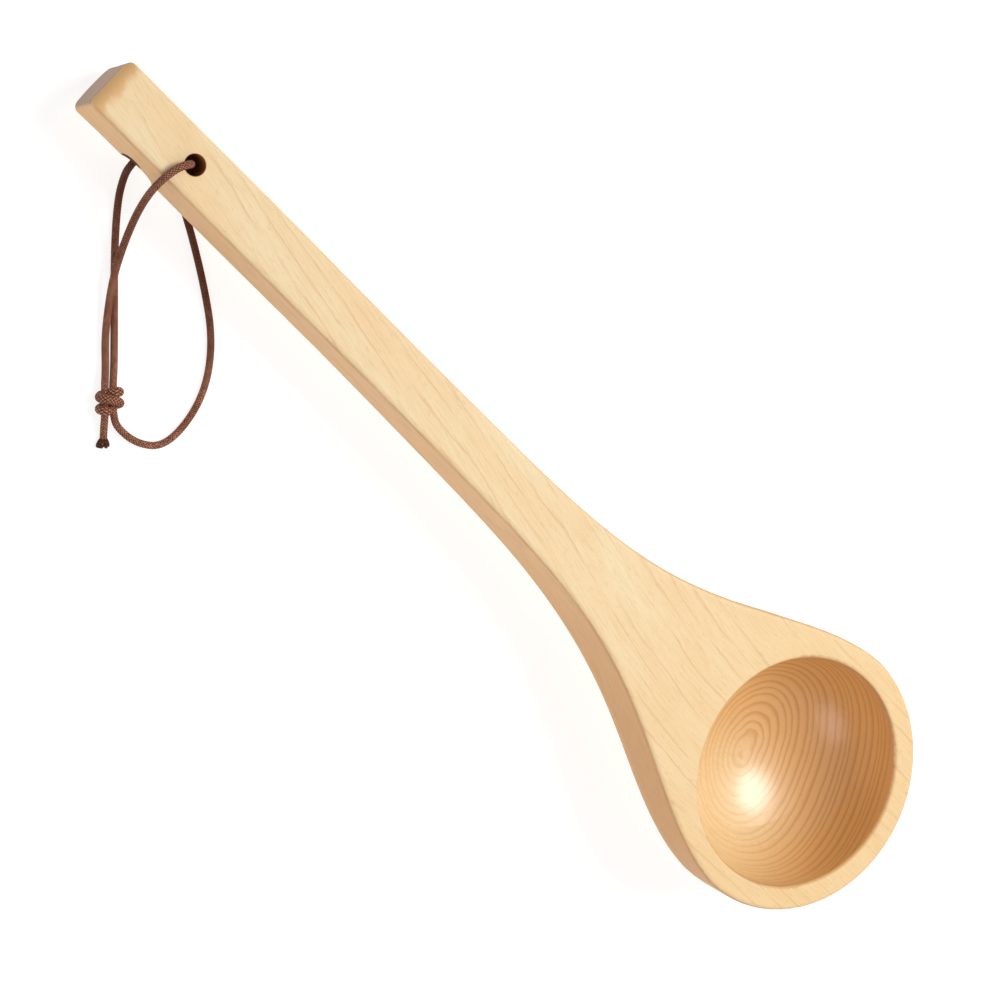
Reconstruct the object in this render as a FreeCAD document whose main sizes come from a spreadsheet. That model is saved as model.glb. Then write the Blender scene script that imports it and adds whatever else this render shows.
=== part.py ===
import FreeCAD, Part
import math
import os
import Sketcher
from FreeCAD import Placement, Rotation, Vector

# A sauna ladle carved from one piece of wood, lying bowl upwards on a flat surface
# The wood is drawn with its flat top face at z = 0 and the handle's tip at x = 0
# Then it is turned a few degrees into its rest position and centred on the origin

os.makedirs("parts", exist_ok=True)
doc = FreeCAD.newDocument("sauna_ladle")

# Sizes, all in millimetres
sheet = doc.addObject("Spreadsheet::Sheet", "Sizes")
SIZES = [
    ("top_arris", 1.8),
    ("belly_ratio", 1.75),
    ("bowl_centre", 347.3),
    ("hollow_radius", 43.0),
    ("rim_width", 9.1),
    ("hollow_depth", 37.0),
    ("hollow_side_curve", 30.0),
    ("hollow_floor_curve", 55.0),
    ("hollow_lip", 1.4),
    ("tip_bevel_length", 3.6),
    ("tip_bevel_drop", 2.6),
    ("tip_round", 2.2),
    ("hole_radius", 3.4),
    ("hole_from_tip", 35.0),
    ("dish_radius", 7.5),
    ("dish_from_tip", 26.8),
    ("dish_below_top", 24.2),
    ("dish_aside", 12.6),
    ("socket_radius", 1.9),
    ("socket_from_tip", 24.0),
    ("socket_below_top", 20.0),
    ("socket_mouth", 10.5),
    ("socket_length", 11.0),
    ("cord_radius", 1.25),
    ("knot_length", 9.0),
    ("knot_radius", 4.6),
    ("knot_end_radius", 3.3),
    ("knot_waist_length", 4.0),
]

# Cross sections, evenly spaced from the tip: name, half width, depth, lower corner radius
HANDLE_STATIONS = [
    ("tip", 9.2, 29.3, 4.4),
    ("hole", 9.4, 27.3, 4.5),
    ("grip", 9.7, 26.9, 4.6),
    ("middle", 9.75, 27.1, 4.6),
    ("waist", 9.95, 28.5, 4.8),
    ("upper", 10.4, 30.3, 5.0),
    ("neck", 11.5, 32.7, 5.4),
    ("throat", 15.8, 36.1, 8.5),
]
# The sections towards the bowl, whose half width is a share of the bowl's outer radius
# The last one is past the bowl's centre, and only steers the curve up to it
BOWL_STATIONS = [
    ("flare", 0.5106, 40.9, 18.5),
    ("cheek", 0.8119, 44.9, 23.3),
    ("full", 1.0, 47.0, 24.0),
    ("past", 0.7466, 40.1, 18.0),
]


def fill_sheet():
    rows = list(SIZES)
    for name, half, depth, corner in HANDLE_STATIONS:
        rows += [(name + "_half", half), (name + "_depth", depth), (name + "_corner", corner)]
    for name, share, depth, corner in BOWL_STATIONS:
        rows += [(name + "_share", share), (name + "_depth", depth), (name + "_corner", corner)]
    for number, (name, value) in enumerate(rows, 1):
        sheet.set("A%d" % number, name)
        sheet.set("B%d" % number, repr(value))
        sheet.setAlias("B%d" % number, name)
    doc.recompute()


def size(name):
    return float(sheet.get(name))


def line(x0, y0, x1, y1):
    return Part.LineSegment(Vector(x0, y0, 0), Vector(x1, y1, 0))


def arc(cx, cy, radius, start, end):
    circle = Part.Circle(Vector(cx, cy, 0), Vector(0, 0, 1), radius)
    return Part.ArcOfCircle(circle, start, end)


def constrain(sketch, kind, *items):
    return sketch.addConstraint(Sketcher.Constraint(kind, *items))


def bind(sketch, kind, *items, to, name):
    index = constrain(sketch, kind, *items)
    sketch.renameConstraint(index, name)
    sketch.setExpression("Constraints." + name, to)


def across_plane(sketch, share):
    # the sketch's x is the ladle's y, its y is the ladle's z
    along = size("bowl_centre") * share
    sketch.Placement = Placement(Vector(along, 0, 0), Rotation(Vector(1, 1, 1), 120))
    sketch.setExpression(".Placement.Base.x", "Sizes.bowl_centre * %.1f" % share)


def half_width(name):
    # half of a section's width, and the expression that keeps it so
    if name in [station[0] for station in HANDLE_STATIONS]:
        return size(name + "_half"), "Sizes.%s_half" % name
    bowl_radius = size("hollow_radius") + size("rim_width")
    share_to = "Sizes.%s_share * (Sizes.hollow_radius + Sizes.rim_width)" % name
    return size(name + "_share") * bowl_radius, share_to


def corner_depth(half, depth, corner, belly):
    return depth - belly + math.sqrt((belly - corner) ** 2 - (half - corner) ** 2)


def section(body, number, name):
    # flat top, softened arrises, upright sides, rounded lower corners and a curved belly
    half, half_to = half_width(name)
    depth, corner = size(name + "_depth"), size(name + "_corner")
    arris, belly = size("top_arris"), size("belly_ratio") * half
    side = corner_depth(half, depth, corner, belly)
    turn = math.atan2(-side - (belly - depth), half - corner)
    left, right = -math.pi - turn, turn
    sketch = body.newObject("Sketcher::SketchObject", "Section_" + name)
    across_plane(sketch, number / 10)
    sketch.addGeometry(
        [
            line(half - arris, 0, arris - half, 0),
            arc(arris - half, -arris, arris, math.pi / 2, math.pi),
            line(-half, -arris, -half, -side),
            arc(corner - half, -side, corner, -math.pi, left),
            arc(0, belly - depth, belly, left, right),
            arc(half - corner, -side, corner, right, 0),
            line(half, -side, half, -arris),
            arc(half - arris, -arris, arris, 0, math.pi / 2),
        ],
        False,
    )
    for edge in range(8):
        constrain(sketch, "Tangent", edge, 2, (edge + 1) % 8, 1)
    constrain(sketch, "PointOnObject", 0, 1, -1)
    constrain(sketch, "Symmetric", 0, 1, 0, 2, -2)
    constrain(sketch, "PointOnObject", 4, 3, -2)
    constrain(sketch, "Vertical", 2)
    constrain(sketch, "Vertical", 6)
    constrain(sketch, "Equal", 1, 7)
    constrain(sketch, "Equal", 3, 5)
    belly_to = "Sizes.belly_ratio * " + half_to
    bind(sketch, "Radius", 1, arris, to="Sizes.top_arris", name="arris")
    bind(sketch, "Radius", 3, corner, to="Sizes.%s_corner" % name, name="corner")
    bind(sketch, "Radius", 4, belly, to=belly_to, name="belly")
    bind(sketch, "DistanceX", -1, 1, 6, 1, half, to=half_to, name="half")
    drop_to = "%s - Sizes.%s_depth" % (belly_to, name)
    bind(sketch, "DistanceY", -1, 1, 4, 3, belly - depth, to=drop_to, name="drop")
    return sketch


def trim_profile(body):
    sketch = body.newObject("Sketcher::SketchObject", "Profile_trim")
    across_plane(sketch, 1)
    radius = 2 * half_width("full")[0]
    circle = Part.Circle(Vector(0, 0, 0), Vector(0, 0, 1), radius)
    sketch.addGeometry([circle], False)
    constrain(sketch, "Coincident", 0, 3, -1, 1)
    bind(sketch, "Radius", 0, radius, to="2 * " + half_width("full")[1], name="radius")
    return sketch


def far_half_profile(body):
    # half of the full section, turned through 180 degrees to make the bowl's far end
    half, half_to = half_width("full")
    depth, corner = size("full_depth"), size("full_corner")
    arris, belly = size("top_arris"), size("belly_ratio") * half
    side = corner_depth(half, depth, corner, belly)
    turn = math.atan2(-side - (belly - depth), half - corner)
    left = -math.pi - turn
    sketch = body.newObject("Sketcher::SketchObject", "Profile_far_end")
    across_plane(sketch, 1)
    sketch.addGeometry(
        [
            line(0, 0, arris - half, 0),
            arc(arris - half, -arris, arris, math.pi / 2, math.pi),
            line(-half, -arris, -half, -side),
            arc(corner - half, -side, corner, -math.pi, left),
            arc(0, belly - depth, belly, left, -math.pi / 2),
            line(0, -depth, 0, 0),
        ],
        False,
    )
    for edge in range(4):
        constrain(sketch, "Tangent", edge, 2, edge + 1, 1)
    constrain(sketch, "Coincident", 4, 2, 5, 1)
    constrain(sketch, "Coincident", 5, 2, 0, 1)
    constrain(sketch, "Coincident", 0, 1, -1, 1)
    constrain(sketch, "Horizontal", 0)
    constrain(sketch, "Vertical", 2)
    constrain(sketch, "PointOnObject", 4, 2, -2)
    constrain(sketch, "PointOnObject", 4, 3, -2)
    bind(sketch, "Radius", 1, arris, to="Sizes.top_arris", name="arris")
    bind(sketch, "Radius", 3, corner, to="Sizes.full_corner", name="corner")
    belly_to = "Sizes.belly_ratio * " + half_to
    bind(sketch, "Radius", 4, belly, to=belly_to, name="belly")
    bind(sketch, "DistanceX", 2, 1, -1, 1, half, to=half_to, name="half")
    bind(sketch, "DistanceY", -1, 1, 4, 3, belly - depth, to=belly_to + " - Sizes.full_depth", name="drop")
    return sketch


def hollow_profile(body):
    # the bowl's inside: a softened lip, a short upright wall and two curves down to the floor
    radius, depth, lip = (size("hollow_" + part) for part in ("radius", "depth", "lip"))
    corner, floor = size("hollow_side_curve"), size("hollow_floor_curve")
    side = corner_depth(radius, depth, corner, floor)
    turn = math.atan2(-side - (floor - depth), radius - corner)
    left = -math.pi - turn
    sketch = body.newObject("Sketcher::SketchObject", "Profile_hollow")
    across_plane(sketch, 1)
    sketch.addGeometry(
        [
            line(0, lip, -radius - lip, lip),
            line(-radius - lip, lip, -radius - lip, 0),
            arc(-radius - lip, -lip, lip, 0, math.pi / 2),
            line(-radius, -lip, -radius, -side),
            arc(corner - radius, -side, corner, -math.pi, left),
            arc(0, floor - depth, floor, left, -math.pi / 2),
            line(0, -depth, 0, lip),
        ],
        False,
    )
    constrain(sketch, "Coincident", 0, 2, 1, 1)
    constrain(sketch, "Coincident", 1, 2, 2, 2)
    constrain(sketch, "Tangent", 2, 1, 3, 1)
    constrain(sketch, "Tangent", 3, 2, 4, 1)
    constrain(sketch, "Tangent", 4, 2, 5, 1)
    constrain(sketch, "Coincident", 5, 2, 6, 1)
    constrain(sketch, "Coincident", 6, 2, 0, 1)
    constrain(sketch, "Horizontal", 0)
    constrain(sketch, "Vertical", 1)
    constrain(sketch, "Vertical", 3)
    constrain(sketch, "Vertical", 6)
    constrain(sketch, "PointOnObject", 1, 2, -1)
    constrain(sketch, "PointOnObject", 6, 2, -2)
    constrain(sketch, "PointOnObject", 5, 3, -2)
    constrain(sketch, "Vertical", 1, 2, 2, 3)
    bind(sketch, "DistanceY", -1, 1, 0, 1, lip, to="Sizes.hollow_lip", name="above")
    bind(sketch, "Radius", 2, lip, to="Sizes.hollow_lip", name="lip")
    bind(sketch, "Radius", 4, corner, to="Sizes.hollow_side_curve", name="corner")
    bind(sketch, "Radius", 5, floor, to="Sizes.hollow_floor_curve", name="floor")
    bind(sketch, "DistanceX", 3, 1, -1, 1, radius, to="Sizes.hollow_radius", name="radius")
    drop = "Sizes.hollow_floor_curve - Sizes.hollow_depth"
    bind(sketch, "DistanceY", -1, 1, 5, 3, floor - depth, to=drop, name="drop")
    return sketch


def bevel_profile(body):
    # the round that takes off the arris between the top face and the tip's end
    long, drop = size("tip_bevel_length"), size("tip_bevel_drop")
    radius = (long**2 + drop**2) / (2 * drop)
    sketch = body.newObject("Sketcher::SketchObject", "Profile_bevel")
    sketch.Placement = Placement(Vector(0, 0, 0), Rotation(Vector(1, 0, 0), 90))
    end = math.pi - math.asin((radius - drop) / radius)
    outline = [line(0, 0, long, 0), arc(long, -radius, radius, math.pi / 2, end)]
    sketch.addGeometry(outline + [line(0, -drop, 0, 0)], False)
    constrain(sketch, "Coincident", 0, 2, 1, 1)
    constrain(sketch, "Coincident", 1, 2, 2, 1)
    constrain(sketch, "Coincident", 2, 2, 0, 1)
    constrain(sketch, "Coincident", 0, 1, -1, 1)
    constrain(sketch, "Horizontal", 0)
    constrain(sketch, "Vertical", 2)
    constrain(sketch, "Vertical", 1, 1, 1, 3)
    bind(sketch, "DistanceX", -1, 1, 0, 2, long, to="Sizes.tip_bevel_length", name="long")
    bind(sketch, "DistanceY", 2, 1, -1, 1, drop, to="Sizes.tip_bevel_drop", name="drop")
    return sketch


def tip_edges(shape):
    # the edges round the tip's end face, without the straight one at its top
    names = []
    for number, edge in enumerate(shape.Edges, 1):
        at_top = abs(edge.CenterOfMass.z + size("tip_bevel_drop")) < 0.05
        if edge.BoundBox.XMax < 0.01 and not at_top:
            names.append("Edge%d" % number)
    return names


def carve_ladle():
    body = doc.addObject("PartDesign::Body", "Ladle")
    body.Label = "ladle"
    stations = HANDLE_STATIONS + BOWL_STATIONS
    sections = [section(body, number, station[0]) for number, station in enumerate(stations)]
    hull = body.newObject("PartDesign::AdditiveLoft", "Handle_and_shoulders")
    hull.Profile = sections[0]
    hull.Sections = sections[1:]
    hull.Ruled = False
    trim = body.newObject("PartDesign::Pocket", "Trim_at_bowl_centre")
    trim.Profile = trim_profile(body)
    trim.Reversed = True
    trim.setExpression("Length", "Sizes.bowl_centre / 5")
    far = body.newObject("PartDesign::Revolution", "Bowl_far_end")
    far.Profile = far_half_profile(body)
    far.ReferenceAxis = (far.Profile[0], ["V_Axis"])
    far.Angle = 180
    hollow = body.newObject("PartDesign::Groove", "Bowl_hollow")
    hollow.Profile = hollow_profile(body)
    hollow.ReferenceAxis = (hollow.Profile[0], ["V_Axis"])
    hollow.Angle = 360
    bevel = body.newObject("PartDesign::Pocket", "Tip_bevel")
    bevel.Profile = bevel_profile(body)
    bevel.Midplane = True
    bevel.setExpression("Length", "4 * Sizes.tip_half")
    hole = body.newObject("PartDesign::SubtractiveCylinder", "Cord_hole")
    hole.setExpression(".Placement.Base.x", "Sizes.hole_from_tip")
    hole.setExpression(".Placement.Base.z", "-1.5 * Sizes.tip_depth")
    hole.setExpression("Radius", "Sizes.hole_radius")
    hole.setExpression("Height", "2 * Sizes.tip_depth")
    dish = body.newObject("PartDesign::SubtractiveSphere", "Side_dish")
    dish.setExpression("Radius", "Sizes.dish_radius")
    dish.setExpression(".Placement.Base.x", "Sizes.dish_from_tip")
    dish.setExpression(".Placement.Base.y", "-Sizes.dish_aside")
    dish.setExpression(".Placement.Base.z", "-Sizes.dish_below_top")
    socket = body.newObject("PartDesign::SubtractiveCylinder", "Side_socket")
    socket.Placement = Placement(Vector(0, 0, 0), Rotation(Vector(1, 0, 0), -90))
    socket.setExpression("Radius", "Sizes.socket_radius")
    socket.setExpression("Height", "Sizes.socket_length")
    socket.setExpression(".Placement.Base.x", "Sizes.socket_from_tip")
    socket.setExpression(".Placement.Base.y", "-Sizes.socket_mouth")
    socket.setExpression(".Placement.Base.z", "-Sizes.socket_below_top")
    doc.recompute()
    rounding = body.newObject("PartDesign::Fillet", "Tip_rounding")
    rounding.Base = (socket, tip_edges(socket.Shape))
    rounding.setExpression("Radius", "Sizes.tip_round")
    doc.recompute()
    return body


def rest_placement(shape):
    # turned so that the bowl's underside and the tip's underside touch one flat surface
    points = shape.tessellate(0.02)[0]
    length = size("bowl_centre")
    tip = [(p.x, p.z) for p in points if p.x < length / 8]
    bowl = [(p.x, p.z) for p in points if p.x > length * 0.7]
    low, high = 0.0, 0.2
    for _ in range(40):
        pitch = (low + high) / 2
        lowest = [min(x * math.sin(pitch) + z * math.cos(pitch) for x, z in part) for part in (tip, bowl)]
        if lowest[0] > lowest[1]:
            low = pitch
        else:
            high = pitch
    turned = [x * math.cos(pitch) - z * math.sin(pitch) for x, z in tip + bowl]
    middle = (min(turned) + max(turned)) / 2
    print("rest pitch", math.degrees(pitch), "lift", -lowest[0], "shift", -middle)
    return Placement(Vector(-middle, 0, -min(lowest)), Rotation(Vector(0, 1, 0), -math.degrees(pitch)))


# The cord's routes, in the rest position: the end held in the handle's side to the knot,
# the knot round the loop and up through the handle to the knot again, and the loose tail
SIDE = [
    (-174.9, -1.2, 10.26), (-174.9, -9.4, 10.3), (-173.1, -12.6, 5.0), (-168.2, -19.4, 1.25),
    (-157.5, -32.3, 1.25), (-141.8, -49.0, 1.25), (-133.3, -58.4, 1.8), (-129.73, -63.53, 3.5),
]  # fmt: skip
LOOP = [
    (-131.64, -65.33, 3.5), (-135.3, -60.3, 1.8), (-142.7, -52.7, 1.7), (-153.2, -39.1, 4.1),
    (-159.3, -27.8, 6.8), (-165.5, -19.5, 17.8), (-169.3, -13.0, 29.0), (-169.2, -5.2, 33.9),
    (-165.7, 0.2, 30.9), (-163.8, 0.0, 18.0), (-164.7, 0.5, 5.4), (-160.0, -1.8, 1.25),
    (-148.3, -7.2, 1.25), (-130.3, -18.3, 1.25), (-115.9, -28.9, 1.25), (-106.5, -41.2, 1.25),
    (-102.6, -54.0, 1.25), (-103.3, -66.4, 1.25), (-110.7, -71.4, 1.25), (-119.2, -72.0, 2.0),
    (-123.48, -69.98, 3.5),
]  # fmt: skip
TAIL = [(-125.40, -71.80, 3.5), (-121.9, -75.5, 1.6), (-118.3, -79.3, 1.25)]
# Where two strands go into the knot, and two come out of it
KNOT_IN = (Vector(*SIDE[-1]) + Vector(*LOOP[0])) / 2
KNOT_OUT = (Vector(*LOOP[-1]) + Vector(*TAIL[0])) / 2


def bend(before, corner, after):
    # the tangent arc at a corner of the route: its two ends, its middle and its radius
    back, ahead = before - corner, after - corner
    reach = 0.45 * min(back.Length, ahead.Length)
    turn = math.pi - back.getAngle(ahead)
    radius = reach / math.tan(turn / 2)
    back.normalize()
    ahead.normalize()
    inward = (back + ahead).normalize()
    middle = corner + inward * (radius / math.cos(turn / 2) - radius)
    return corner + back * reach, middle, corner + ahead * reach, radius


def route_wire(points):
    # straight runs joined by tangent arcs
    points = [Vector(*point) for point in points]
    edges, radii, start = [], [], points[0]
    for before, corner, after in zip(points, points[1:], points[2:]):
        first, middle, last, radius = bend(before, corner, after)
        edges.append(Part.LineSegment(start, first).toShape())
        edges.append(Part.Arc(first, middle, last).toShape())
        radii.append(radius)
        start = last
    edges.append(Part.LineSegment(start, points[-1]).toShape())
    return Part.Wire(edges), radii


def lay_cord(name, points):
    wire, radii = route_wire(points)
    path = doc.addObject("Part::Feature", name + "_path")
    path.Shape = wire
    ring = doc.addObject("Part::Circle", name + "_ring")
    ring.setExpression("Radius", "Sizes.cord_radius")
    start = Vector(*points[0])
    ring.Placement = Placement(start, Rotation(Vector(0, 0, 1), Vector(*points[1]) - start))
    cord = doc.addObject("Part::Sweep", name)
    cord.Sections = [ring]
    cord.Spine = (path, ["Edge%d" % (n + 1) for n in range(len(wire.Edges))])
    cord.Solid = True
    cord.Frenet = False
    cord.Label = name
    doc.recompute()
    expected = math.pi * size("cord_radius") ** 2 * wire.Length
    print(name, "length %.1f" % wire.Length, "volume %.1f" % cord.Shape.Volume, end=" ")
    print("expected %.1f" % expected, "radii", " ".join("%.1f" % r for r in radii))
    return cord


def tie_knot():
    # the plain outer shape of the knot, flat where the strands enter and leave it
    long, radius, end = (size("knot_" + part) for part in ("length", "radius", "end_radius"))
    half, waist = long / 2, size("knot_waist_length") / 2
    body = doc.addObject("PartDesign::Body", "Knot")
    body.Label = "cord_knot"
    sketch = body.newObject("Sketcher::SketchObject", "Profile_knot")
    corners = [(-half, 0), (half, 0), (half, end), (waist, radius), (-waist, radius), (-half, end)]
    ends = corners[1:] + corners[:1]
    sketch.addGeometry([line(*here, *there) for here, there in zip(corners, ends)], False)
    for edge in range(6):
        constrain(sketch, "Coincident", edge, 2, (edge + 1) % 6, 1)
    constrain(sketch, "Symmetric", 0, 1, 0, 2, -1, 1)
    constrain(sketch, "Symmetric", 3, 1, 3, 2, -2)
    constrain(sketch, "Vertical", 1)
    constrain(sketch, "Vertical", 5)
    bind(sketch, "DistanceX", 0, 1, 0, 2, long, to="Sizes.knot_length", name="long")
    bind(sketch, "DistanceY", 0, 2, 1, 2, end, to="Sizes.knot_end_radius", name="end")
    bind(sketch, "DistanceX", 3, 2, 3, 1, 2 * waist, to="Sizes.knot_waist_length", name="waist")
    bind(sketch, "DistanceY", 0, 2, 3, 1, radius, to="Sizes.knot_radius", name="radius")
    knot = body.newObject("PartDesign::Revolution", "Knot_round")
    knot.Profile = sketch
    knot.ReferenceAxis = (sketch, ["H_Axis"])
    knot.Angle = 360
    heading, middle = KNOT_OUT - KNOT_IN, (KNOT_IN + KNOT_OUT) / 2
    turn = math.degrees(math.atan2(heading.y, heading.x))
    body.Placement = Placement(Vector(middle.x, middle.y, radius), Rotation(Vector(0, 0, 1), turn))
    doc.recompute()
    return body


def export(objects):
    for item in doc.Objects:
        if "Invalid" in item.State or "Error" in item.State:
            raise RuntimeError(item.Name + " did not compute")
    for item in objects:
        shape = item.Shape
        if shape.isNull() or not shape.isValid() or len(shape.Solids) != 1:
            raise RuntimeError(item.Label + " is not one valid solid")
        box = shape.optimalBoundingBox(False)
        print(item.Label, "volume %.0f" % shape.Volume, box)
        shape.exportStep("parts/%s.step" % item.Label)


fill_sheet()
ladle = carve_ladle()
ladle.Placement = rest_placement(ladle.Shape)
cords = [lay_cord("cord_side", SIDE), lay_cord("cord_loop", LOOP), lay_cord("cord_tail", TAIL)]
export([ladle, tie_knot()] + cords)
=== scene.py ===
import math

import bpy
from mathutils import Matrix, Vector


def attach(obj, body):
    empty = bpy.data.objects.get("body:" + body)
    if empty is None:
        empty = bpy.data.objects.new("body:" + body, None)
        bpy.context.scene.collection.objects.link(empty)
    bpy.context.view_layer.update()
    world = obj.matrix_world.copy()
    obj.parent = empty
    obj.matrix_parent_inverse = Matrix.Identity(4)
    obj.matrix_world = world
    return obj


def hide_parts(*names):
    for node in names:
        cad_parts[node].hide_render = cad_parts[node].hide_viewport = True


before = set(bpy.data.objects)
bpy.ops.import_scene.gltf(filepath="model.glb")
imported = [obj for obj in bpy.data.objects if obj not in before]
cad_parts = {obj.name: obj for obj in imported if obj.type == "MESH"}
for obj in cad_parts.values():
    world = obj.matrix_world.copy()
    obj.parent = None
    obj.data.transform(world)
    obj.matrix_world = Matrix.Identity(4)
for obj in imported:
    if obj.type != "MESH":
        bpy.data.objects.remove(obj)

bl_info = {
    "name": "Sauna ladle",
    "version": (1, 0, 0),
    "blender": (4, 5, 0),
    "location": "3D View > Sidebar > Ladle",
    "description": "Finishes a wooden sauna ladle and makes its hanging cord",
    "category": "Object",
}

MM_PER_M = 1000

# How the ladle lies: the rise of its flat top face, and where the tip's top edge stands
REST_PITCH = math.radians(3.0286)
TIP_SHIFT = -0.19995
TIP_LIFT = 0.02884
ALONG = (math.cos(REST_PITCH), 0, math.sin(REST_PITCH))
ACROSS = (0, 1, 0)

# The cord's route, in metres: out of the handle's side and down to the knot, round the loop and
# back to the handle from below, up through the hole and over the edge to the knot, and on as the
# loose tail. The loop is listed from its end, so the route takes it backwards
SIDE = [
    (-0.1749, -0.0012, 0.01026), (-0.1749, -0.0094, 0.0103), (-0.1731, -0.0126, 0.005),
    (-0.1682, -0.0194, 0.00125), (-0.1575, -0.0323, 0.00125), (-0.1418, -0.049, 0.00125),
    (-0.1333, -0.0584, 0.0018), (-0.12973, -0.06353, 0.0035),
]
LOOP = [
    (-0.13164, -0.06533, 0.0035), (-0.1353, -0.0603, 0.0018), (-0.1427, -0.0527, 0.0017),
    (-0.1532, -0.0391, 0.0041), (-0.1593, -0.0278, 0.0068), (-0.1655, -0.0195, 0.0178),
    (-0.1693, -0.013, 0.029), (-0.1692, -0.0052, 0.0339), (-0.1657, 0.0002, 0.0309),
    (-0.1638, 0.0, 0.018), (-0.1647, 0.0005, 0.0054), (-0.16, -0.0018, 0.00125),
    (-0.1483, -0.0072, 0.00125), (-0.1303, -0.0183, 0.00125), (-0.1159, -0.0289, 0.00125),
    (-0.1065, -0.0412, 0.00125), (-0.1026, -0.054, 0.00125), (-0.1033, -0.0664, 0.00125),
    (-0.1107, -0.0714, 0.00125), (-0.1192, -0.072, 0.002), (-0.12348, -0.06998, 0.0035),
]
TAIL = [(-0.1254, -0.0718, 0.0035), (-0.1219, -0.0755, 0.0016), (-0.1183, -0.0793, 0.00125)]
CORD_ROUTE = SIDE + LOOP[::-1] + TAIL

# The knot's three turns round the strands: along the strands, across them, and above the floor
KNOT_TURNS = [
    (-0.0026, 0.0, 0.0032), (-0.0029, 0.0012, 0.0056), (-0.003, 0.0031, 0.005),
    (-0.0029, 0.0034, 0.0026), (-0.0025, 0.0022, 0.0018), (-0.002, -0.0018, 0.0018),
    (-0.0014, -0.0029, 0.0026), (-0.0011, -0.0029, 0.0046), (-0.001, -0.0014, 0.006),
    (-0.0007, 0.0008, 0.006), (0.0003, 0.003, 0.0052), (0.0009, 0.0035, 0.0034),
    (0.0012, 0.003, 0.0018), (0.0021, -0.0016, 0.0018), (0.0024, -0.0028, 0.0022),
    (0.0026, -0.003, 0.004), (0.0029, -0.0018, 0.0052), (0.0031, -0.0008, 0.0044),
    (0.003, 0.0004, 0.0024),
]

# How finely a line is divided between two of its points: the cord, the knot and the path that the
# declare operator works out
CORD_STEPS = 64
KNOT_STEPS = 40
PATH_STEPS = 16

# The tail's frayed end, in metres: its fibres lie in the last stretch of the cord
FIBRES = 110
FIBRE_SIDES = 5
FIBRE_THICKNESS = 0.00022
FIBRE_LENGTH = 0.0025
FIBRE_LENGTH_VARIES = 0.0004
FIBRE_LOWEST = 0.00025
FIBRE_SHARES = (0, 0.3, 0.6, 0.85, 1.0)
GOLDEN_ANGLE = 2.39996

# Millimetres from the tip and the top face: the bowl's middle, the hollow's radius and depth, the
# radius of its floor, the cord's hole, and the cord's socket in the handle's side
BOWL_CENTRE = 347.3
BOWL_REACH = 60.0
HOLLOW_RADIUS = 43.0
FLOOR_DEPTH = 37.0
FLOOR_CURVE = 55.0
HOLE_FROM_TIP = 35.0
HOLE_RADIUS = 3.4
SOCKET = (23.6, -20.0)
SOCKET_MOUTH_SIZE = (3.9, 5.6)

# Where the grain stops running off the handle's line, and how softly, in millimetres
DRIFT_END = 290.0
DRIFT_EASE = 40.0

# Stretches over which a tone comes in, in millimetres: along the ladle from its tip
SHOULDER_TOP = (230, 360)
SHOULDER_SIDE = (170, 320)
BEVEL_EDGE = (2.4, 5.8)
TIP_FACE = (0.2, 1.6)
# up from the top face
TOP_FACE = (-1.7, -1.1)
BEVEL_FOOT = (-4.5, -2.5)
END_TOP = (-3.2, -2.3)
END_LINE = (-5.0, -3.2)
# out from the bowl's middle, up from the hollow's floor, and along the ladle past the middle
HOLLOW_EDGE = (HOLLOW_RADIUS - 0.4, HOLLOW_RADIUS + 0.6)
HOLLOW_FLOOR = (-1.5, -0.5)
HOLLOW_START = (-40, -14)
# out from the hole's middle, and from the ladle's middle toward the socket's side
HOLE_EDGE = (HOLE_RADIUS, HOLE_RADIUS + 0.3)
SOCKET_SIDE = (2.0, 3.0)
# Painted shade makes the hollow browner toward the side given next, along and across the ladle,
# where its wall faces away from the key lamp, and painted light gives a paler place low on the wall
# facing the lamp
SHADED_WALL_SIDE = (0.5, 0.87)
SHADED_WALL_REACH = (-42, 34)
GLOW_PLACE = (352, -22)
GLOW_REACH = (4, 38)

WOOD_TONES = {
    "patch": (0.91, 0.68, 0.39),
    "shoulder": (0.9, 0.61, 0.29),
    "hollow": (0.9, 0.56, 0.24),
    "hollow_painted_shade": (0.72, 0.36, 0.1),
    "hollow_painted_glow": (0.95, 0.73, 0.4),
    "fibre": (0.7, 0.44, 0.2),
    "side": (0.76, 0.445, 0.19),
    "side_shoulder": (0.5, 0.24, 0.085),
    "side_streak": (0.5, 0.27, 0.13),
    "bevel": (0.72, 0.42, 0.17),
    "end_line": (0.2, 0.1, 0.04),
    # the hole's tone and the socket's tone are painted shade in those recesses
    "hole_painted_shade": (0.36, 0.11, 0.01),
    "socket": (0.07, 0.016, 0.003),
}
CORD_TONES = {
    "bright_fuzz": (0.62, 0.27, 0.15),
    "dark_fuzz": (0.045, 0.013, 0.007),
    "worn": (0.12, 0.036, 0.018),
    "held": (0.07, 0.018, 0.008),
}
# Where painted shade darkens the cord close under the handle, in metres across the ladle and above
# the floor
HANDLE_SHADE_ACROSS = (-0.05, -0.008)
HANDLE_SHADE_UP = (0.012, 0.026)

FLOOR_TONES = ((0.34, 0.34, 0.338), (0.36, 0.36, 0.36))
FLOOR_GLOW = 0.79
FLOOR_SIZE = 40
SENSOR_WIDTH = 36


def length(name, text, value):
    return bpy.props.FloatProperty(name=name, description=text, default=value, unit="LENGTH")


def colour(name, text, value):
    return bpy.props.FloatVectorProperty(
        name=name, description=text, default=value, subtype="COLOR", min=0, max=1
    )


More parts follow.
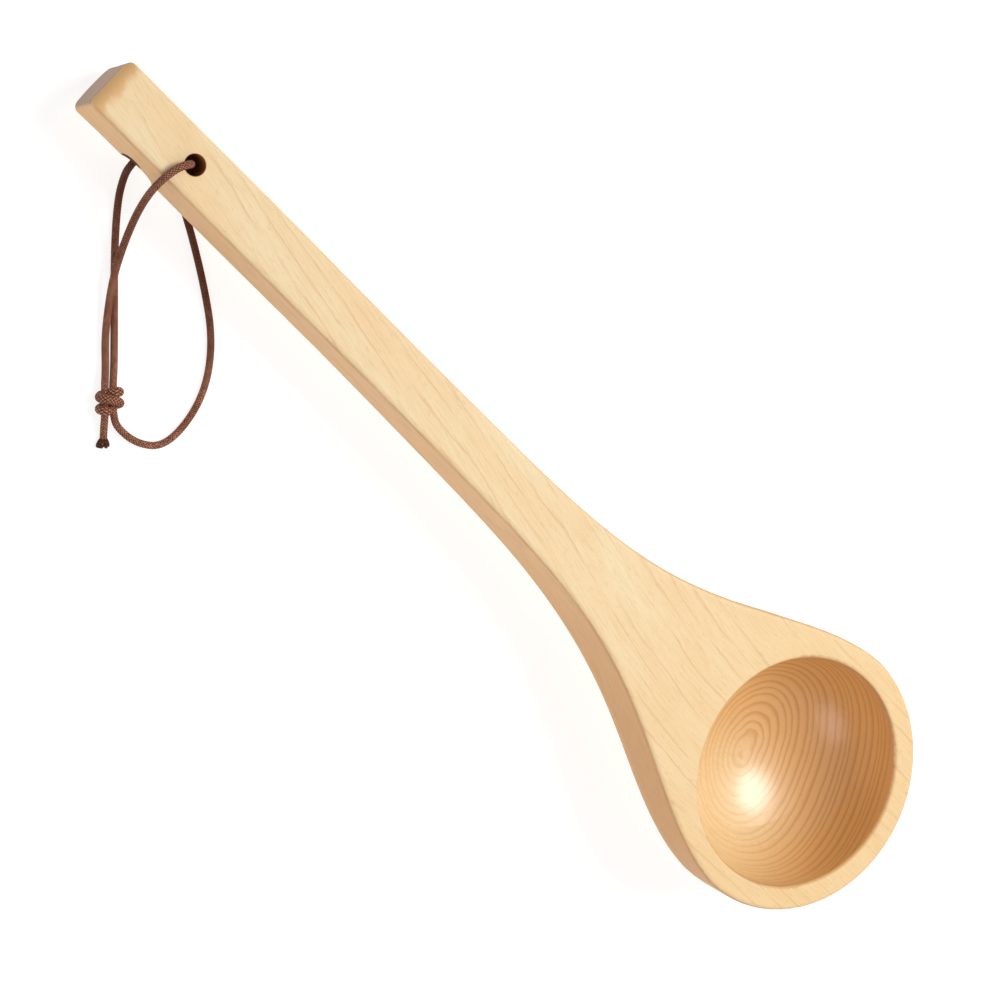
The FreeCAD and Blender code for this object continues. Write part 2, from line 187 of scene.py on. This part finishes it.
class WoodSettings(bpy.types.PropertyGroup):
    ring_spacing: length(
        "Ring spacing", "Distance between growth lines on the bowl's floor", 0.00265
    )
    line_spacing: length("Line spacing", "Distance between growth lines on the top face", 0.005)
    ring_bow: length("Ring bow", "Radius of the growth layers' curve across the handle", 0.094)
    ring_turn: bpy.props.FloatProperty(
        name="Ring turn",
        description="How far the growth layers' curve is turned in the bowl",
        default=math.radians(26),
        subtype="ANGLE",
    )
    drift: bpy.props.FloatProperty(
        name="Drift", description="How far the grain runs off the handle's line", default=0.2
    )
    early: colour("Early wood", "Colour of the pale spring wood", (0.925, 0.745, 0.46))
    late: colour("Late wood", "Colour of the narrow summer lines", (0.56, 0.25, 0.06))
    cut: colour("Cut grain", "Colour where the knife crosses the grain", (0.8, 0.43, 0.15))
    end: colour("End grain", "Colour of the handle's end", (0.34, 0.215, 0.15))


class CordSettings(bpy.types.PropertyGroup):
    radius: length("Radius", "Half the cord's thickness", 0.00125)
    relief: length("Relief", "How far the plaited threads stand out", 0.00015)
    threads: bpy.props.IntProperty(
        name="Threads", description="Threads that wind each way round the cord", default=8
    )
    sides: bpy.props.IntProperty(name="Sides", description="Faces round the cord", default=32)
    knot_radius: length("Knot radius", "Half the thickness of the loose turns in the knot", 0.00158)
    # the sunk tone is painted shade in the gaps between the threads, and the raised tone is the
    # threads' colour brightened by a painted highlight
    raised_and_highlight: colour("Raised thread", "Colour on top of the threads", (0.66, 0.29, 0.175))
    sunk_shade: colour("Sunk thread", "Colour in the gaps between the threads", (0.05, 0.013, 0.006))


class StageSettings(bpy.types.PropertyGroup):
    camera_place: bpy.props.FloatVectorProperty(
        name="Camera place",
        description="Where the camera stands",
        default=(-0.30335, -0.1302, 0.60162),
        subtype="TRANSLATION",
        unit="LENGTH",
    )
    camera_turn: bpy.props.FloatVectorProperty(
        name="Camera turn",
        description="The camera's rotation",
        default=(math.radians(-10.1872), math.radians(-26.9758), math.radians(45.197)),
        subtype="EULER",
        unit="ROTATION",
    )
    focal: bpy.props.FloatProperty(
        name="Focal length", description="The lens, for a 36 mm wide picture", default=70.84
    )
    key_power: bpy.props.FloatProperty(
        name="Key light",
        description="Power of the round lamp over the far side",
        default=14.6,
        unit="POWER",
    )
    sky: bpy.props.FloatProperty(name="Sky", description="Brightness of the room", default=0.43)


class Value:
    """A number in a material, which Python's own operators work on."""

    def __init__(self, finish, socket):
        self.finish = finish
        self.socket = socket

    def math(self, operation, *others):
        inputs = dict(enumerate((self, *others)))
        return self.finish.node("Math", {"operation": operation}, inputs)

    def __add__(self, other):
        return self.math("ADD", other)

    __radd__ = __add__

    def __sub__(self, other):
        return self.math("SUBTRACT", other)

    def __rsub__(self, other):
        return (self * -1) + other

    def __mul__(self, other):
        return self.math("MULTIPLY", other)

    __rmul__ = __mul__

    def __truediv__(self, other):
        return self.math("DIVIDE", other)

    def __pow__(self, other):
        return self.math("POWER", other)

    def step(self, low, high):
        """0 below low, 1 above high, and smooth between them."""
        settings = {"interpolation_type": "SMOOTHSTEP"}
        return self.finish.node("MapRange", settings, {"Value": self, 1: low, 2: high})


class Finish:
    """A material whose nodes are written as expressions."""

    def __init__(self, name):
        self.material = bpy.data.materials.new(name)
        self.material.use_nodes = True
        self.tree = self.material.node_tree
        self.surface = self.tree.nodes["Principled BSDF"]

    def node(self, kind, settings=None, inputs=None, output=0):
        made = self.tree.nodes.new("ShaderNode" + kind)
        for key, value in (settings or {}).items():
            setattr(made, key, value)
        for key, value in (inputs or {}).items():
            self.put(made.inputs[key], value)
        return Value(self, made.outputs[output])

    def put(self, socket, value):
        if isinstance(value, Value):
            self.tree.links.new(value.socket, socket)
        else:
            socket.default_value = value

    def split(self, vector):
        return [self.node("SeparateXYZ", inputs={0: vector}, output=axis) for axis in "XYZ"]

    def join(self, x, y, z):
        return self.node("CombineXYZ", inputs={0: x, 1: y, 2: z})

    def noise(self, place, scale, detail=2.0, rough=0.5):
        inputs = {"Vector": place, "Scale": scale, "Detail": detail, "Roughness": rough}
        return self.node("TexNoise", inputs=inputs)

    def grain(self, x, y, z, detail=2.0, rough=0.5):
        """Noise from 0 to 1, which changes over about one unit of each of three values."""
        return self.noise(self.join(x, y, z), 1.0, detail, rough)

    def waver(self, reach, x, y, z, detail=2.0):
        """Noise about zero, half its reach to either side at most."""
        return (self.grain(x, y, z, detail) - 0.5) * reach

    def facing(self, direction):
        """How squarely the surface lies across a direction, from 0 to 1."""
        inputs = {0: self.node("NewGeometry", output="Normal"), 1: direction}
        dot = self.node("VectorMath", {"operation": "DOT_PRODUCT"}, inputs, output="Value")
        return dot.math("ABSOLUTE")

    def blend(self, share, first, second):
        settings = {"data_type": "RGBA", "clamp_factor": True}
        first = first if isinstance(first, Value) else (*first, 1)
        second = second if isinstance(second, Value) else (*second, 1)
        return self.node("Mix", settings, {0: share, 6: first, 7: second}, output=2)

    def lay(self, tone, layers):
        """A tone with others laid over it in turn, each by its own share."""
        for share, tint in layers:
            tone = self.blend(share, tone, tint)
        return tone

    def bump(self, height, distance, strength):
        inputs = {"Strength": strength, "Distance": distance, "Height": height}
        return self.node("Bump", inputs=inputs, output="Normal")

    def finish(self, **sockets):
        for name, value in sockets.items():
            self.put(self.surface.inputs[name.replace("_", " ")], value)
        return self.material


def off_middle(first, second):
    """How far a place is from a middle, worked out from its distances in two directions."""
    return (first * first + second * second) ** 0.5


class LadlePlace:
    """Millimetres along the ladle from its tip, across it, and up from its top face."""

    def __init__(self, wood, settings):
        c, _, s = ALONG
        origin = (-c * TIP_SHIFT - s * TIP_LIFT, 0, s * TIP_SHIFT - c * TIP_LIFT)
        own = wood.node(
            "Mapping",
            inputs={
                "Vector": wood.node("TexCoord", output="Object"),
                "Location": [MM_PER_M * v for v in origin],
                "Rotation": (0, REST_PITCH, 0),
                "Scale": (MM_PER_M, MM_PER_M, MM_PER_M),
            },
        )
        self.along, self.across, self.up = wood.split(own)
        # the grain runs off the handle's line and turns along it in the shoulder
        run = self.along.math("SMOOTH_MIN", DRIFT_END, DRIFT_EASE) - DRIFT_END
        self.drifted = self.across + run * settings.drift
        beyond = self.along - BOWL_CENTRE
        self.past_bowl = beyond.math("MAXIMUM", -BOWL_REACH).math("MINIMUM", BOWL_REACH)
        self.on_top = self.up.step(*TOP_FACE)
        inside = 1 - off_middle(self.past_bowl, self.across).step(*HOLLOW_EDGE)
        above_floor = (self.up + FLOOR_DEPTH).step(*HOLLOW_FLOOR)
        self.hollow = inside * (1 - self.on_top) * above_floor


def growth_layers(wood, settings, place):
    """Summer wood from 0 to 1, in layers bowed across the handle that waver along it."""
    along, drifted, up = place.along, place.drifted, place.up
    slow = wood.waver(1.6, along * 0.012, drifted * 0.03, up * 0.02)
    quick = wood.waver(0.3, along * 0.05, drifted * 0.09, up * 0.05)
    turn = settings.ring_turn
    beside = place.across * math.cos(turn) - place.past_bowl * math.sin(turn)
    bow = beside * beside / (2 * MM_PER_M * settings.ring_bow)
    depth = up - bow + slow + quick + FLOOR_DEPTH
    # the root spaces the layers evenly where they cross the hollow's round floor
    phase = (depth.math("ABSOLUTE") * 2 * FLOOR_CURVE) ** 0.5 / (MM_PER_M * settings.ring_spacing)
    phase = phase + wood.waver(2.0, phase * 0.45, 3.7, 1.2, 1.0)
    part = phase.math("FRACT")
    return part.step(0.25, 0.8) ** 2 * (1 - part.step(0.8, 1.0))


def top_lines(wood, settings, place):
    """Thin broken lines from 0 to 1, as growth layers show on the flat top face."""
    along, drifted = place.along, place.drifted
    sway = wood.waver(12, along * 0.01, drifted * 0.05, 7.1)
    wander = wood.waver(2.4, along * 0.05, drifted * 0.1, 2.3)
    shiver = wood.waver(0.9, along * 0.25, drifted * 0.5, 8.9, 3.0)
    across_lines = drifted + sway + wander + shiver
    part = (across_lines / (MM_PER_M * settings.line_spacing)).math("FRACT")
    broken = wood.grain(along * 0.035, drifted * 0.35, 5.5).step(0.4, 0.62)
    return part.step(0.6, 0.9) ** 4 * (1 - part.step(0.9, 0.97)) * broken


def wood_finish(settings):
    wood = Finish("pale_wood")
    place = LadlePlace(wood, settings)
    along, across, up = place.along, place.across, place.up
    drifted, past_bowl, hollow = place.drifted, place.past_bowl, place.hollow

    # painted shade on the hollow's wall that faces away from the key lamp; the rings are drawn
    # stronger there too
    shaded_wall = hollow * (past_bowl * SHADED_WALL_SIDE[0] + across * SHADED_WALL_SIDE[1]).step(*SHADED_WALL_REACH)
    # painted light: a paler glow low on the hollow's wall that faces the key lamp, with fainter
    # rings under it
    painted_glow = off_middle(along - GLOW_PLACE[0], across - GLOW_PLACE[1])
    painted_glow = hollow * (1 - painted_glow.step(*GLOW_REACH))

    # the flat top face shows only thin broken lines, and the carved faces the full layers
    thin = top_lines(wood, settings, place) * place.on_top * 0.28
    full = growth_layers(wood, settings, place) * (1 - place.on_top) * (0.16 + shaded_wall * 0.6)
    lines = thin + full

    # how squarely the surface cuts the fibres, and which faces are the handle's sides
    crossing = wood.facing(ALONG).step(0.1, 0.95)
    on_side = wood.facing(ACROSS).step(0.5, 0.95) * (1 - hollow)

    fibre = wood.grain(along * 0.09, drifted * 1.3, up * 1.3, 5.0, 0.7)
    fleck = wood.grain(along * 0.3, drifted * 2.2, up * 2.2, 1.0).step(0.64, 0.74)
    patch = wood.grain(along * 0.02, drifted * 0.08, up * 0.08, 3.0)
    streak = wood.grain(along * 0.05, drifted * 0.4, up * 0.9, 4.0, 0.65)

    # the tip's bevel is orange up to a ragged edge, and a dark line parts it from the grey end
    ragged = along + wood.waver(5, along * 0.2, across * 0.35, 4.4)
    bevel = (1 - ragged.step(*BEVEL_EDGE)) * up.step(*BEVEL_FOOT)
    tip_end = (1 - along.step(*TIP_FACE)) * crossing * (1 - up.step(*END_TOP))

    # painted shade makes the cord's hole and the mouth of its socket darker than the sanded faces
    hole_shade = 1 - off_middle(along - HOLE_FROM_TIP, across).step(*HOLE_EDGE)
    wide = (along - SOCKET[0]) / SOCKET_MOUTH_SIZE[0]
    high = (up - SOCKET[1]) / SOCKET_MOUTH_SIZE[1]
    socket_shade = (1 - (wide * wide + high * high).step(0.75, 1.05)) * (across * -1).step(*SOCKET_SIDE)

    tone = wood.blend(patch.step(0.3, 0.7), settings.early, WOOD_TONES["patch"])
    tone = wood.lay(tone, [
        (along.step(*SHOULDER_TOP) * 0.55, WOOD_TONES["shoulder"]),
        (hollow * past_bowl.step(*HOLLOW_START) * 0.35, WOOD_TONES["hollow"]),
        (shaded_wall * 0.75, WOOD_TONES["hollow_painted_shade"]),
        (crossing * 0.62, settings.cut),
        (painted_glow * 0.8, WOOD_TONES["hollow_painted_glow"]),
        (lines * (1 - painted_glow * 0.5), settings.late),
        (fleck * 0.28, settings.late),
        ((fibre - 0.46) * 1.4, WOOD_TONES["fibre"]),
        (on_side * 0.85, WOOD_TONES["side"]),
        (on_side * along.step(*SHOULDER_SIDE) * 0.5, WOOD_TONES["side_shoulder"]),
        (on_side * streak.step(0.42, 0.68) * 0.4, WOOD_TONES["side_streak"]),
        (bevel * 0.8, WOOD_TONES["bevel"]),
        (tip_end * 0.9, settings.end),
        (tip_end * up.step(*END_LINE) * 0.6, WOOD_TONES["end_line"]),
        (hole_shade * 0.9, WOOD_TONES["hole_painted_shade"]),
        (socket_shade * 0.97, WOOD_TONES["socket"]),
    ])
    height = fibre * 0.6 - lines * 0.5 - fleck * 0.5
    return wood.finish(
        Base_Color=tone,
        Roughness=0.55 + (fibre - 0.5) * 0.12 - hollow * 0.17 + (socket_shade + hole_shade) * 0.4,
        IOR=1.38,
        Coat_Weight=hollow,
        Coat_Roughness=0.27,
        Coat_IOR=1.6,
        Normal=wood.bump(height, 0.00006, 0.6),
    )


def cord_finish(settings):
    cord = Finish("woven_cord")
    relief = cord.node("Attribute", {"attribute_name": "relief"}, output="Fac")
    place = cord.node("TexCoord", output="Object")
    _, across, up = cord.split(place)
    fuzz = cord.noise(place, 1500.0, 3.0, 0.7)
    worn = cord.noise(place, 140.0)
    # painted shade: the cord is darker close under the handle, where the handle shades it
    held = across.step(*HANDLE_SHADE_ACROSS) * (1 - up.step(*HANDLE_SHADE_UP))
    # painted shade in the thread gaps and a painted highlight on the threads' tops, over the
    # threads' own colour
    tone = cord.blend(relief.step(0.35, 1.0), settings.sunk_shade, settings.raised_and_highlight)
    tone = cord.lay(tone, [
        (fuzz.step(0.5, 0.75) * 0.7, CORD_TONES["bright_fuzz"]),
        ((1 - fuzz.step(0.32, 0.52)) * 0.7, CORD_TONES["dark_fuzz"]),
        (worn.step(0.45, 0.75) * 0.5, CORD_TONES["worn"]),
        (held * 0.75, CORD_TONES["held"]),
    ])
    normal = cord.bump(fuzz, 0.00008, 0.7)
    return cord.finish(Base_Color=tone, Roughness=0.7, IOR=1.3, Normal=normal)


def floor_finish():
    floor = Finish("pale_floor")
    grain = floor.noise(floor.node("TexCoord", output="Object"), 30.0)
    return floor.finish(
        Base_Color=floor.blend(grain, *FLOOR_TONES),
        Roughness=0.9,
        Emission_Color=(1, 1, 1, 1),
        Emission_Strength=FLOOR_GLOW,
    )


def route_line(name, points, resolution):
    """A smooth line steered by the route's points, as a list of places along it."""
    curve = bpy.data.curves.new(name, "CURVE")
    curve.dimensions = "3D"
    curve.resolution_u = resolution
    spline = curve.splines.new("NURBS")
    spline.points.add(len(points) - 1)
    for point, place in zip(spline.points, points):
        point.co = (*place, 1)
    spline.order_u = 3
    spline.use_endpoint_u = True
    holder = bpy.data.objects.new(name, curve)
    bpy.context.scene.collection.objects.link(holder)
    bpy.context.view_layer.update()
    mesh = bpy.data.meshes.new_from_object(holder)
    line = [v.co.copy() for v in mesh.vertices]
    bpy.data.objects.remove(holder)
    bpy.data.curves.remove(curve)
    bpy.data.meshes.remove(mesh)
    return line


def rings_along(line):
    """Each place on a line, how far along it is, and two directions across, which don't twist."""
    across = (line[1] - line[0]).orthogonal().normalized()
    rings, travelled = [], 0.0
    for index, place in enumerate(line):
        before, after = line[max(index - 1, 0)], line[min(index + 1, len(line) - 1)]
        ahead = (after - before).normalized()
        across = (across - ahead * across.dot(ahead)).normalized()
        if index:
            travelled += (place - before).length
        rings.append((place, travelled, across.copy(), ahead.cross(across)))
    return rings


def beside_line(place, across, over, turn, out):
    """A place some way out from a line, at a share of a full turn round it."""
    angle = 2 * math.pi * turn
    return place + (across * math.cos(angle) + over * math.sin(angle)) * out


def ring_edges(start, sides):
    """The edges round one ring of points, as pairs of their numbers."""
    return [(start + side, start + (side + 1) % sides) for side in range(sides)]


def tube_faces(start, rings, sides):
    """The faces between rings of points that follow each other from a first point on."""
    faces = []
    for ring in range(rings - 1):
        for a, b in ring_edges(start + ring * sides, sides):
            faces.append((a, b, b + sides, a + sides))
    return faces


def plait_height(settings, travelled, turn):
    """Height of the plaited threads, from 0 in a gap to 1 on top, at a place on the cord."""
    lead = travelled / (2 * math.pi * settings.radius)
    rising, falling = settings.threads * (turn + lead), settings.threads * (turn - lead)
    over = (math.floor(rising) + math.floor(falling)) % 2 == 0
    width, float_along = (rising, falling) if over else (falling, rising)
    # a thread is round across its width and dips where the next one crosses it
    crown = math.cos(math.pi * (width % 1 - 0.5))
    return crown**0.8 * (0.55 + 0.45 * math.cos(math.pi * (float_along % 1 - 0.5)))


def plaited_tube(name, line, settings, radius):
    """A closed tube round a line, with the relief of a plaited cord."""
    sides = settings.sides
    places, relief = [], []
    for place, travelled, across, over in rings_along(line):
        for side in range(sides):
            height = plait_height(settings, travelled, side / sides)
            # the threads' tops lie at the radius, so none reaches past it
            out = radius + settings.relief * (height - 1)
            places.append(beside_line(place, across, over, side / sides, out))
            relief.append(height)
    faces = tube_faces(0, len(line), sides)
    for end, place in ((0, line[0]), (len(line) - 1, line[-1])):
        centre = len(places)
        places.append(place)
        relief.append(0.0)
        for a, b in ring_edges(end * sides, sides):
            faces.append((b, a, centre) if end == 0 else (a, b, centre))
    return mesh_piece(name, places, faces, relief)


def mesh_piece(name, places, faces, relief):
    """A smooth piece from its points and faces, which keeps the threads' height at each point."""
    mesh = bpy.data.meshes.new(name)
    mesh.from_pydata([tuple(p) for p in places], [], faces)
    mesh.attributes.new("relief", "FLOAT", "POINT").data.foreach_set("value", relief)
    mesh.shade_smooth()
    piece = bpy.data.objects.new(name, mesh)
    bpy.context.scene.collection.objects.link(piece)
    return piece


def knot_frame():
    """The knot's middle on the floor, and its directions along and across the strands."""
    enter = (Vector(SIDE[-1]) + Vector(LOOP[0])) / 2
    leave = (Vector(LOOP[-1]) + Vector(TAIL[0])) / 2
    middle = (enter + leave) / 2
    middle.z = 0
    ahead = leave - enter
    ahead.z = 0
    ahead.normalize()
    return middle, ahead, Vector((-ahead.y, ahead.x, 0))


def fibre_path(number, radius):
    """The course of one fibre in the tail's frayed end, as places along it."""
    end, before = Vector(TAIL[-1]), Vector(TAIL[-2])
    ahead = (end - before).normalized()
    beside = ahead.cross(Vector((0, 0, 1))).normalized()
    above = beside.cross(ahead)
    # spread evenly over the cord's section, then apart to the left or the right
    spread = math.sqrt((number + 0.5) / FIBRES)
    angle = number * GOLDEN_ANGLE
    u, v = spread * math.cos(angle), spread * math.sin(angle)
    lobe = 1 if u > 0 else -1
    reach = FIBRE_LENGTH + FIBRE_LENGTH_VARIES * math.sin(number * 5.3)
    path = []
    for share in FIBRE_SHARES:
        widen = 0.95 + 0.55 * math.sin(share * 2.2)
        aside = (u * widen + 0.25 * lobe * share + 0.2 * share) * radius
        lift = v * widen * radius
        place = end + ahead * (reach * share - FIBRE_LENGTH) + beside * aside + above * lift
        place.z = max(place.z, FIBRE_LOWEST)
        path.append(place)
    return path


def add_fibre(places, faces, relief, path):
    """Adds one thin fibre along a path, which narrows toward its end and is closed at both."""
    start = len(places)
    for index, (place, _, across, over) in enumerate(rings_along(path)):
        narrow = FIBRE_THICKNESS * (1 - 0.35 * index / (len(path) - 1))
        for side in range(FIBRE_SIDES):
            places.append(beside_line(place, across, over, side / FIBRE_SIDES, narrow))
            relief.append(0.3 + 0.25 * math.sin(len(places)))
    faces.extend(tube_faces(start, len(path), FIBRE_SIDES))
    last = start + (len(path) - 1) * FIBRE_SIDES
    faces.append(tuple(start + side for side in reversed(range(FIBRE_SIDES))))
    faces.append(tuple(last + side for side in range(FIBRE_SIDES)))


def dress(piece, material):
    piece.data.materials.clear()
    piece.data.materials.append(material)
    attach(piece, "root")


class SAUNA_OT_finish_wood(bpy.types.Operator):
    """Give the carved ladle its pale wood"""

    bl_idname = "sauna.finish_wood"
    bl_label = "Finish the wood"

    def execute(self, context):
        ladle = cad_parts["ladle"]
        material = wood_finish(context.scene.ladle_wood)
        for slot in ladle.material_slots:
            slot.material = material
        return {"FINISHED"}


class SAUNA_OT_lay_cord(bpy.types.Operator):
    """Lay the plaited cord along its route"""

    bl_idname = "sauna.lay_cord"
    bl_label = "Lay the cord"

    def execute(self, context):
        settings = context.scene.ladle_cord
        line = route_line("cord_route", CORD_ROUTE, CORD_STEPS)
        cord = plaited_tube("cord", line, settings, settings.radius)
        dress(cord, cord_finish(settings))
        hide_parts("cord_side", "cord_loop", "cord_tail")
        return {"FINISHED"}


class SAUNA_OT_tie_knot(bpy.types.Operator):
    """Wind the knot's turns round the strands"""

    bl_idname = "sauna.tie_knot"
    bl_label = "Tie the knot"

    def execute(self, context):
        settings = context.scene.ladle_cord
        middle, ahead, beside = knot_frame()
        turns = [middle + ahead * a + beside * b + Vector((0, 0, h)) for a, b, h in KNOT_TURNS]
        line = route_line("knot_route", turns, KNOT_STEPS)
        knot = plaited_tube("cord_knot_turns", line, settings, settings.knot_radius)
        dress(knot, bpy.data.materials["woven_cord"])
        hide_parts("cord_knot")
        return {"FINISHED"}


class SAUNA_OT_fray_tail(bpy.types.Operator):
    """Fray the tail's cut end into two tufts"""

    bl_idname = "sauna.fray_tail"
    bl_label = "Fray the tail"

    def execute(self, context):
        places, faces, relief = [], [], []
        for number in range(FIBRES):
            path = fibre_path(number, context.scene.ladle_cord.radius)
            add_fibre(places, faces, relief, path)
        tail = mesh_piece("cord_tail_end", places, faces, relief)
        dress(tail, bpy.data.materials["woven_cord"])
        return {"FINISHED"}


class SAUNA_OT_declare_cord(bpy.types.Operator):
    """Work out the cord's route, which is then left unused"""

    bl_idname = "sauna.declare_cord"
    bl_label = "Declare the cord"

    def execute(self, context):
        line = route_line("cord_route", CORD_ROUTE, PATH_STEPS)
        return {"FINISHED"}


def add_lamp(name, target, azimuth, elevation, distance, size, power, tint):
    """A round lamp aimed at a target, from a compass direction and a height in degrees."""
    azimuth, elevation = math.radians(azimuth), math.radians(elevation)
    flat = math.cos(elevation)
    toward = Vector((flat * math.cos(azimuth), flat * math.sin(azimuth), math.sin(elevation)))
    light = bpy.data.lights.new(name, "AREA")
    light.shape = "DISK"
    light.size = size
    light.energy = power
    light.color = tint
    lamp = bpy.data.objects.new(name, light)
    bpy.context.scene.collection.objects.link(lamp)
    lamp.location = Vector(target) + toward * distance
    lamp.rotation_euler = toward.to_track_quat("Z", "Y").to_euler()


class SAUNA_OT_set_stage(bpy.types.Operator):
    """Lay the floor and set the lights and the camera"""

    bl_idname = "sauna.set_stage"
    bl_label = "Set the stage"

    def execute(self, context):
        scene, settings = context.scene, context.scene.ladle_stage
        bpy.ops.mesh.primitive_plane_add(size=FLOOR_SIZE, location=(0, 0, 0))
        floor = context.object
        floor.name = "floor"
        floor.data.materials.append(floor_finish())

        world = bpy.data.worlds.new("room")
        world.use_nodes = True
        background = world.node_tree.nodes["Background"]
        background.inputs["Color"].default_value = (1, 1, 1, 1)
        background.inputs["Strength"].default_value = settings.sky
        scene.world = world

        add_lamp(
            "key_lamp", (0.147, -0.005, 0.02), azimuth=77, elevation=60, distance=1.5, size=0.76,
            power=settings.key_power, tint=(1, 0.985, 0.96),
        )
        add_lamp(
            "near_lamp", (0.165, 0.028, 0.02), azimuth=-94, elevation=32, distance=1.3, size=0.8,
            power=2.7, tint=(1, 0.82, 0.8),
        )

        camera = bpy.data.objects.new("camera", bpy.data.cameras.new("camera"))
        scene.collection.objects.link(camera)
        camera.location = settings.camera_place
        camera.rotation_euler = settings.camera_turn
        camera.data.sensor_width = SENSOR_WIDTH
        camera.data.lens = settings.focal
        camera.data.clip_start = 0.01
        scene.camera = camera
        scene.view_settings.view_transform = "Standard"
        return {"FINISHED"}


class SAUNA_PT_panel(bpy.types.Panel):
    bl_label = "Sauna ladle"
    bl_idname = "SAUNA_PT_panel"
    bl_space_type = "VIEW_3D"
    bl_region_type = "UI"
    bl_category = "Ladle"

    def draw(self, context):
        scene = context.scene
        for group in (scene.ladle_wood, scene.ladle_cord, scene.ladle_stage):
            box = self.layout.box()
            for name in group.__annotations__:
                box.prop(group, name)
        for operator in OPERATORS:
            self.layout.operator(operator.bl_idname)


OPERATORS = (
    SAUNA_OT_finish_wood,
    SAUNA_OT_lay_cord,
    SAUNA_OT_tie_knot,
    SAUNA_OT_fray_tail,
    SAUNA_OT_declare_cord,
    SAUNA_OT_set_stage,
)
CLASSES = (WoodSettings, CordSettings, StageSettings, *OPERATORS, SAUNA_PT_panel)


def register():
    for item in CLASSES:
        bpy.utils.register_class(item)
    bpy.types.Scene.ladle_wood = bpy.props.PointerProperty(type=WoodSettings)
    bpy.types.Scene.ladle_cord = bpy.props.PointerProperty(type=CordSettings)
    bpy.types.Scene.ladle_stage = bpy.props.PointerProperty(type=StageSettings)


def unregister():
    del bpy.types.Scene.ladle_stage
    del bpy.types.Scene.ladle_cord
    del bpy.types.Scene.ladle_wood
    for item in reversed(CLASSES):
        bpy.utils.unregister_class(item)


def main():
    register()
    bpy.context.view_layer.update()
    bpy.ops.object.select_all(action="DESELECT")
    bpy.ops.sauna.finish_wood()
    bpy.ops.sauna.lay_cord()
    bpy.ops.sauna.tie_knot()
    bpy.ops.sauna.fray_tail()
    bpy.ops.sauna.declare_cord()
    bpy.ops.sauna.set_stage()


if __name__ == "__main__":
    main()
